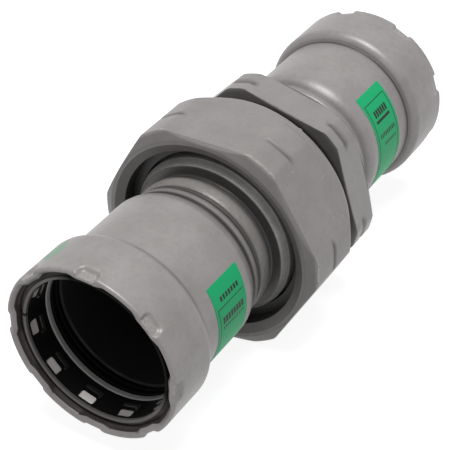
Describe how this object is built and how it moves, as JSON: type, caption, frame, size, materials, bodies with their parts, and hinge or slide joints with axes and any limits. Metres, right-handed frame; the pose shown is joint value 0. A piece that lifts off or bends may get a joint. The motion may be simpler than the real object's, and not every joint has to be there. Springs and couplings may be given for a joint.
{
  "type": "press pipe union",
  "caption": "Straight pipe union with a press socket at each end, joined by a hexagon union nut on a flat-faced threaded half.",
  "frame": {"origin": "middle of the fitting on the pipe axis, halfway between the two mouths", "axes": "+X along the pipe axis from the front mouth to the rear mouth, +Z out of one flat of the union nut"},
  "size_m": [0.1586, 0.0718, 0.066],
  "materials": {
    "plated_steel_tube": "satin zinc-nickel plating on a formed steel tube",
    "plated_steel_machined": "satin zinc-nickel plating on turned steel",
    "plated_steel_nut": "satin zinc-nickel plating on a forged and turned nut",
    "weld_seam": "plated weld bead, lightly rippled",
    "stainless_grip": "bright stainless strip",
    "black_moulding": "black moulded plastic",
    "pale_separator": "pale grey moulded ring",
    "seal_rubber": "black profile seal",
    "gasket_fibre": "flat rubber gasket",
    "green_label": "satin green film label",
    "green_paint_mark": "thin green paint dab"
  },
  "bodies": {
    "tail_half": {"front_socket": "plated_steel_tube", "front_grip_ring": "stainless_grip", "front_grip_cage": "black_moulding", "front_separator_ring": "pale_separator", "front_seal": "seal_rubber", "front_weld": "weld_seam", "union_tail": "plated_steel_machined", "union_gasket": "gasket_fibre", "front_label": "green_label", "front_colour_mark": "green_paint_mark"},
    "nut": {"union_nut": "plated_steel_nut"},
    "threaded_half": {"threaded_body": "plated_steel_machined", "rear_weld": "weld_seam", "rear_socket": "plated_steel_tube", "rear_grip_ring": "stainless_grip", "rear_grip_cage": "black_moulding", "rear_separator_ring": "pale_separator", "rear_seal": "seal_rubber", "rear_label": "green_label"}
  },
  "joints": [
    {"name": "nut_turn", "type": "hinge", "parent": "tail_half", "child": "nut", "pos_m": [-0.00905, 0, 0], "axis": [-1, 0, 0], "range_deg": [0, 1620]},
    {"name": "body_slide", "type": "slide", "parent": "tail_half", "child": "threaded_half", "axis": [1, 0, 0], "range_m": [0, 0.0104]}
  ],
  "couplings": [
    {"joint": "body_slide", "follows": "nut_turn", "m_per_rad": 0.00036749}
  ]
}
